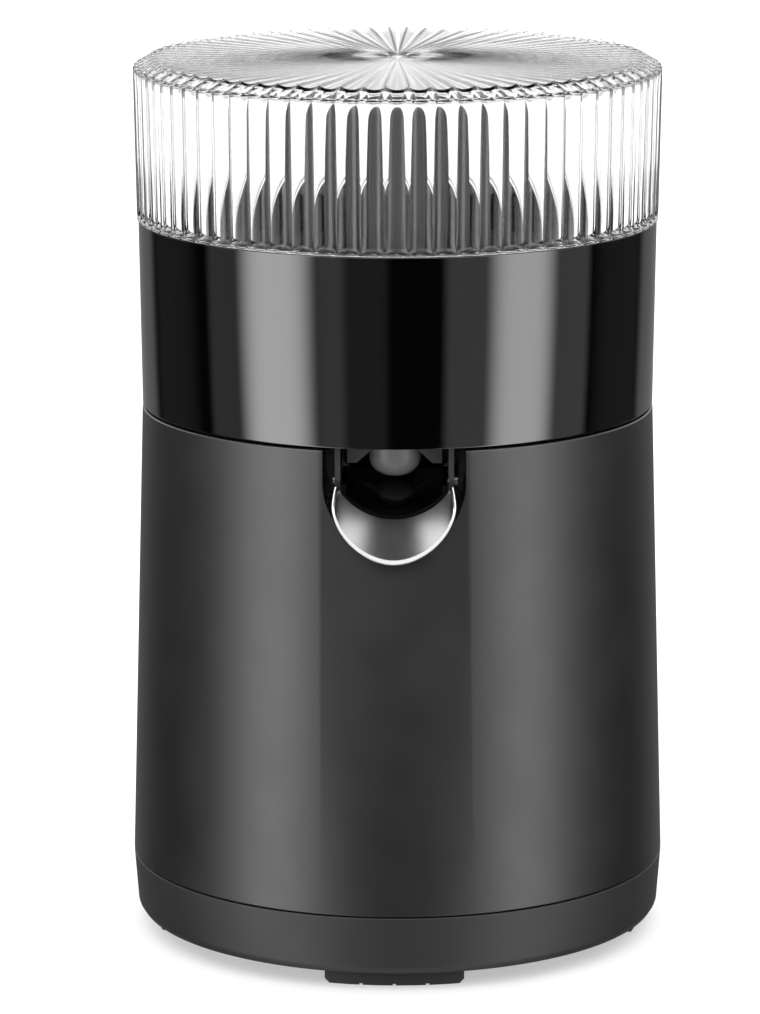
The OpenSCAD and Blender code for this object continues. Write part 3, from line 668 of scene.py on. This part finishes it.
def make_strainer():
    """The strainer: a dish with two rings of slots and a low collar round the cone's bearing."""
    bore, under, top, collar_top = 17.2, 194, 195.8, 198
    rim_under, rim_top = LEDGE_Z + 0.1, 206
    strainer = lathe("strainer", rounded([
        (bore, under, 0.3), (62, under, 1), (64.5, 195.5, 1), (71, rim_under, 1), (SKIRT_R, rim_under, 0.3),
        (SKIRT_R, rim_top, 0.7), (70, rim_top, 1.2), (62.5, 196.4, 1.5), (61, top, 1), (23.5, top, 0.5),
        (23.5, collar_top, 0.5), (21.9, collar_top, 0.5), (21.9, top, 0.3), (bore, top, 0.4)]))
    slots = 36
    cut(strainer,
        turned_copies(lambda: block("slot", (44, -1, 190), (60, 1, 200)), slots),
        turned_copies(lambda: block("slot", (28, -0.8, 190), (40, 0.8, 200)), slots))
    smooth(strainer)
    stands_for(strainer, "strainer")


def make_cone():
    """The cone: ridges that run from its top to its foot, with hollows between them."""
    ridges, per_ridge, levels = 12, 16, 64
    foot_z, tip_z, foot_r = CONE_LOW.z + 9, CONE_HIGH.z, CONE_HIGH.x
    flare, flare_power, dome_power = 12.5, 0.4, 5
    hollow_depth, hollow_power, foot_part = 0.13, 0.55, 0.06
    columns = ridges * per_ridge
    angles = [2 * math.pi * k / columns for k in range(columns)]
    points, faces, rings = [], [], []

    def surface_r(t, angle_share):
        """Radius at t of the way up, at a share of the way from one ridge to the next."""
        body = (foot_r - flare * t ** flare_power) * math.sqrt(max(0, 1 - t ** dome_power))
        hollow = 0.5 - 0.5 * math.cos(2 * math.pi * angle_share)
        fade = min(1, t / foot_part)
        return max(body * (1 - hollow_depth * hollow ** hollow_power * fade), 0.4)

    for i in range(levels + 1):
        t = 1 - (1 - i / levels) ** 1.8
        rings.append(list(range(len(points), len(points) + columns)))
        for k, angle in enumerate(angles):
            r = surface_r(t, (k % per_ridge) / per_ridge)
            points.append((r * math.cos(angle), r * math.sin(angle), foot_z + (tip_z - foot_z) * t))
    tip = len(points)
    points.append((0, 0, tip_z))
    inner = [(foot_r - 5.5, foot_z), (26.5, foot_z + 6), (25, foot_z + 20), (23, foot_z + 36),
             (17, foot_z + 48), (0, foot_z + 53)]
    inner_rings = []
    for r, z in inner[:-1]:
        inner_rings.append(list(range(len(points), len(points) + columns)))
        points += [(r * math.cos(angle), r * math.sin(angle), z) for angle in angles]
    cap = len(points)
    points.append((0, 0, inner[-1][1]))
    every = inner_rings[::-1] + rings
    for a, b in zip(every, every[1:]):
        faces += [[a[k], a[(k + 1) % columns], b[(k + 1) % columns], b[k]] for k in range(columns)]
    faces += [[every[-1][k], every[-1][(k + 1) % columns], tip] for k in range(columns)]
    faces += [[every[0][(k + 1) % columns], every[0][k], cap] for k in range(columns)]
    cone = from_data("cone", points, faces, 50)
    hub = lathe("hub", rounded([(7.5, 190, 0.4), (10, 190, 0.6), (10, 253, 0), (7.5, 253, 0)]), ROUND_SMALL)
    ring = lathe("ring", rounded([
        (17.4, 200.3, 0.3), (21, 200.3, 0.3), (21, 244, 0), (17.4, 244, 0)]), ROUND_SMALL)
    rib = turned_copies(lambda: block("rib", (9, -0.8, 202), (27, 0.8, 222)), 6)
    merged(cone, hub, ring, rib)
    smooth(cone, 40)
    stands_for(cone, "juicing_cone")


# ---------------------------------------------------------------- lid

def make_lid():
    """The clear lid: concave flutes up the wall, over the shoulder and in to the middle of the top.

    The narrow rings next to a change of slope keep smooth shading from tilting the tall faces beside it.
    """
    flutes, sag, turn_deg = 72, 1.9, 0.6
    shares = [-1, -0.94, -0.82, -0.64, -0.42, -0.2, 0, 0.2, 0.42, 0.64, 0.82, 0.94]     # across one flute
    columns = [(flute + (s + 1) / 2) / flutes * 2 * math.pi for flute in range(flutes) for s in shares]
    columns = [c - math.pi / flutes - math.pi / 2 + math.radians(turn_deg) for c in columns]
    pitch = 2 * math.pi * LID_R1 / flutes
    groove_r = (pitch ** 2 / 4 + sag ** 2) / (2 * sag)
    hollow = [(math.sqrt(groove_r ** 2 - (s * pitch / 2) ** 2) - (groove_r - sag)) / sag for s in shares]
    hollow *= flutes

    shoulder_z = LID_Z1 - 3.0
    top_r, eye_r = LID_R1 - 5.0, 3.6
    band_z, wall, eye_z = 2.8, 2.7, LID_Z1 - 0.55

    def wall_r(z):
        """Outer radius of the wall at height z, at the ridges between the flutes."""
        return LID_R0 + (LID_R1 - LID_R0) * (z - LID_Z0) / (shoulder_z - LID_Z0)

    outside = []                                     # radius, height, flute depth inwards, flute depth down
    for z, depth in ((0, 0), (0.7, 0), (1.0, 0.6), (1.6, 1.5), (band_z, sag)):
        outside.append((wall_r(LID_Z0 + z), LID_Z0 + z, depth, 0))
    for k in range(1, 9):
        z = LID_Z0 + band_z + (shoulder_z - 0.3 - LID_Z0 - band_z) * k / 8
        outside.append((wall_r(z), z, sag, 0))
    outside += [(LID_R1, shoulder_z, 1.7, 0.1), (LID_R1 - 0.25, shoulder_z + 0.15, 1.5, 0.4),
                (top_r + 0.35, LID_Z1 - 0.2, 0.9, 0.9), (top_r, LID_Z1, 0.6, 1.0)]
    for k in range(1, 13):
        r = top_r - 0.3 + (eye_r + 1.2 - top_r + 0.3) * (k - 1) / 11
        outside.append((r, LID_Z1, 0, 0.45 + 0.5 * r / top_r))
    outside += [(eye_r, LID_Z1 - 0.5, 0, 0.05), (eye_r - 0.5, eye_z, 0, 0), (1.2, eye_z, 0, 0)]
    inside_top = LID_Z1 - 2.5
    inside = [(2, inside_top), (30, inside_top), (60, inside_top), (top_r - 2.0, inside_top),
              (top_r - 1.4, inside_top), (top_r - 1.0, inside_top - 0.12), (LID_R1 - 2.9, shoulder_z - 1.15),
              (LID_R1 - wall, shoulder_z - 1.5)]
    inside += [(wall_r(z) - wall, z) for z in (shoulder_z - 1.8, 255, 245, 235, 228, LID_Z0 + 0.9)]
    inside += [(LID_R0 - wall, LID_Z0 + 0.5), (LID_R0 - 2.3, LID_Z0), (LID_R0 - 0.4, LID_Z0)]

    points, faces, rings = [], [], []
    for r, z, inwards, down in outside:
        rings.append(list(range(len(points), len(points) + len(columns))))
        points += [((r - inwards * h) * math.cos(a), (r - inwards * h) * math.sin(a), z - down * h)
                   for a, h in zip(columns, hollow)]
    top_centre = len(points)
    points.append((0, 0, eye_z))
    for r, z in inside:
        rings.append(list(range(len(points), len(points) + len(columns))))
        points += [(r * math.cos(a), r * math.sin(a), z) for a in columns]
    inner_centre = len(points)
    points.append((0, 0, inside_top))
    n, last_out = len(columns), len(outside) - 1
    for i in range(len(rings)):
        if i == last_out:
            continue
        a, b = rings[i], rings[(i + 1) % len(rings)]
        faces += [[a[k], a[(k + 1) % n], b[(k + 1) % n], b[k]] for k in range(n)]
    faces += [[rings[last_out][k], rings[last_out][(k + 1) % n], top_centre] for k in range(n)]
    faces += [[rings[last_out + 1][(k + 1) % n], rings[last_out + 1][k], inner_centre] for k in range(n)]
    lid = from_data("lid", points, faces, 55)
    lid.visible_shadow = False
    stands_for(lid, "lid")


# ---------------------------------------------------------------- deck, seen with the bowl lifted

def make_deck():
    """The deck that closes the casing, with the chimney for the shaft and the spout's niche."""
    z, top = 158.4, 160.9
    chimney_r, chimney_top, seal_r, seal_z, bush_r = 11, 186, 6.5, 184, 8.5
    inner = casing_r(z) - CASING_WALL - 0.1
    deck = lathe("deck", rounded([
        (0, z), (inner, z, 0.2), (inner - 0.05, top, 0.6), (chimney_r, top, 1.5),
        (chimney_r, chimney_top, 0.8), (seal_r, chimney_top, 0.3), (seal_r, seal_z, 0.1),
        (bush_r, seal_z, 0.1), (bush_r, z + 0.5, 0.1), (0, z + 0.5)]))
    niche = notch_cutter(NOTCH_R + 1.8, -78, -40.2, z + 1)
    keep_z = 120
    keep = lathe("keep", [(0, keep_z), (casing_r(keep_z) - CASING_WALL - 0.1, keep_z),
                          (inner - 0.1, z + 8), (0, z + 8)])
    combined(niche, [keep], "INTERSECT")
    joined(deck, niche)
    cut(deck, notch_cutter(NOTCH_R, -100, -42, z + 12))
    for k in range(4):
        rib = block("rib", (24, -0.8, top - 0.1), (66, 0.8, top + 1.0))
        joined(deck, placed(rib, turned(20 + 140 * k / 3)))
    bevelled(deck, 0.3, steps=2, above_deg=45)
    stands_for(deck, "top_deck")


# ---------------------------------------------------------------- put it together

make_shell()
make_pan()
for foot_node, foot_turn in (("foot_front", 0), ("foot_right", 90), ("foot_rear", 180), ("foot_left", 270)):
    make_foot(foot_node, foot_turn)
make_gland()
make_deck()
make_bowl()
make_nozzle()
make_spout_housing()
make_channel()
make_lip()
make_plug()
make_strainer()
make_cone()
make_lid()

for node_name, node_object in frame["nodes"].items():
    if not node_object.hide_render:
        dress(node_object, SLOT_OF[node_name])
        smooth(node_object, 40)


# ---------------------------------------------------------------- floor, light and camera

def make_floor():
    """A wide pale floor, slightly self-lit so that the shadow on it stays faint."""
    half = 30000
    floor = from_data("floor", [(-half, -half, 0), (half, -half, 0), (half, half, 0), (-half, half, 0)],
                      [[0, 1, 2, 3]])
    n = Nodes("floor")
    n.colours(n.noise(3), grey(0.55), grey(0.57))
    n.set(Roughness=0.9, Emission_Strength=0.45)
    floor.data.materials.append(n.material)
    floor.visible_glossy = False


def make_world():
    """A pale studio: white to the eye, pale through the lid, and dark with two tall softboxes to gloss."""
    world = bpy.data.worlds.new("studio")
    bpy.context.scene.world = world
    world.use_nodes = True
    world.cycles.sampling_method = "NONE"            # a gloss ray and a diffuse ray each find their own light
    tree = world.node_tree
    tree.nodes.clear()
    new, link = tree.nodes.new, tree.links.new

    def feed(socket, value):
        if isinstance(value, (int, float)):
            socket.default_value = value
        else:
            link(value, socket)

    def math_node(kind, a, b):
        node = new("ShaderNodeMath")
        node.operation = kind
        feed(node.inputs[0], a)
        feed(node.inputs[1], b)
        return node.outputs[0]

    direction = new("ShaderNodeTexCoord").outputs["Generated"]
    parts = new("ShaderNodeSeparateXYZ")
    link(direction, parts.inputs[0])
    flat = new("ShaderNodeCombineXYZ")
    link(parts.outputs["X"], flat.inputs["X"])
    link(parts.outputs["Y"], flat.inputs["Y"])
    unit = new("ShaderNodeVectorMath")
    unit.operation = "NORMALIZE"
    link(flat.outputs[0], unit.inputs[0])

    def step(value, low, high, strength):
        """0 below low, strength above high, and a smooth step between."""
        edge = new("ShaderNodeMapRange")
        edge.interpolation_type = "SMOOTHSTEP"
        edge.inputs["From Min"].default_value = low
        edge.inputs["From Max"].default_value = high
        edge.inputs["To Max"].default_value = strength
        link(value, edge.inputs["Value"])
        return edge.outputs["Result"]

    def band(azimuth_deg, half_deg, soft_deg, strength):
        """Light from a vertical band of sky; azimuth 0 is where the camera stands, + to the right."""
        a = math.radians(azimuth_deg)
        dot = new("ShaderNodeVectorMath")
        dot.operation = "DOT_PRODUCT"
        dot.inputs[1].default_value = (math.sin(a), -math.cos(a), 0)
        link(unit.outputs[0], dot.inputs[0])
        return step(dot.outputs["Value"], math.cos(math.radians(half_deg + soft_deg)),
                    math.cos(math.radians(max(half_deg - soft_deg, 0))), strength)

    def height(low, high, strength):
        """Light that sets in as the direction rises; low and high are sines of its angle upwards."""
        return step(parts.outputs["Z"], low, high, strength)

    def total(*values):
        return functools.reduce(lambda a, b: math_node("ADD", a, b), values)

    def product(*values):
        return functools.reduce(lambda a, b: math_node("MULTIPLY", a, b), values)

    below_top = math_node("SUBTRACT", 1.0, height(0.66, 0.92, 1.0))
    below_roof = math_node("SUBTRACT", 1.0, height(0.84, 0.95, 1.0))
    # seen in gloss: two tall softboxes with dim skirts and a pale wall behind
    softboxes = total(band(-55, 11, 10, 2.9), band(-57, 34, 3, 0.19), band(58, 10, 9, 2.45),
                      band(58, 36, 3, 0.3), band(180, 41, 5, 0.26), band(-118, 14, 8, 0.05),
                      band(118, 16, 8, 0.05), band(-19, 15, 3, 0.08))
    # and higher up, panels over the front and behind, and wings at both sides
    panels = total(product(band(0, 50, 15, 1.6), height(0.2, 0.4, 1.0)),
                   product(band(180, 60, 20, 1.2), height(0.0, 0.1, 1.0)))
    wings = product(total(band(-108, 46, 14, 1.35), band(108, 46, 14, 1.15)), height(0.2, 0.4, 1.0),
                    below_roof)
    gloss = total(product(total(softboxes, panels), below_top), wings, height(0.8, 0.95, 0.06))
    # seen through the clear lid
    through = total(band(180, 50, 34, 0.45), band(0, 40, 30, 0.2), height(0.45, 0.9, 0.3), 0.34)
    # what falls on matt surfaces
    soft = total(band(-58, 25, 20, 0.6), band(64, 22, 20, 0.55), band(180, 60, 20, 0.7),
                 height(0.1, 0.7, 1.35), 0.15)

    path = new("ShaderNodeLightPath")

    def chosen(switch, yes, no):
        node = new("ShaderNodeMix")
        node.data_type = "FLOAT"
        link(switch, node.inputs["Factor"])
        feed(node.inputs["A"], no)
        feed(node.inputs["B"], yes)
        return node.outputs["Result"]

    light = chosen(path.outputs["Is Glossy Ray"], gloss, soft)
    light = chosen(path.outputs["Is Transmission Ray"], through, light)
    light = chosen(path.outputs["Is Camera Ray"], 1.0, light)
    background = new("ShaderNodeBackground")
    link(light, background.inputs["Color"])
    out = new("ShaderNodeOutputWorld")
    link(background.outputs[0], out.inputs["Surface"])


def make_camera():
    """A long lens from just above, with a touch of sideways shift."""
    pitch_deg, turn_deg, distance, aim_z = 12.2, 0.75, 1550.0, 130.8
    camera = bpy.data.cameras.new("camera")
    camera.sensor_width = 36
    camera.lens = 177.7
    camera.shift_x = -0.017357
    camera.clip_end = 20
    obj = new_object("camera", camera)
    pitch, turn = math.radians(pitch_deg), math.radians(turn_deg)
    away = Vector((math.sin(turn) * math.cos(pitch), -math.cos(turn) * math.cos(pitch), math.sin(pitch)))
    aim = Vector((0, 0, aim_z)) * MM
    obj.location = aim + away * distance * MM
    obj.rotation_euler = (-away).to_track_quat("-Z", "Y").to_euler()
    bpy.context.scene.camera = obj


make_floor()
make_world()
make_camera()
bpy.context.scene.view_settings.view_transform = "Standard"
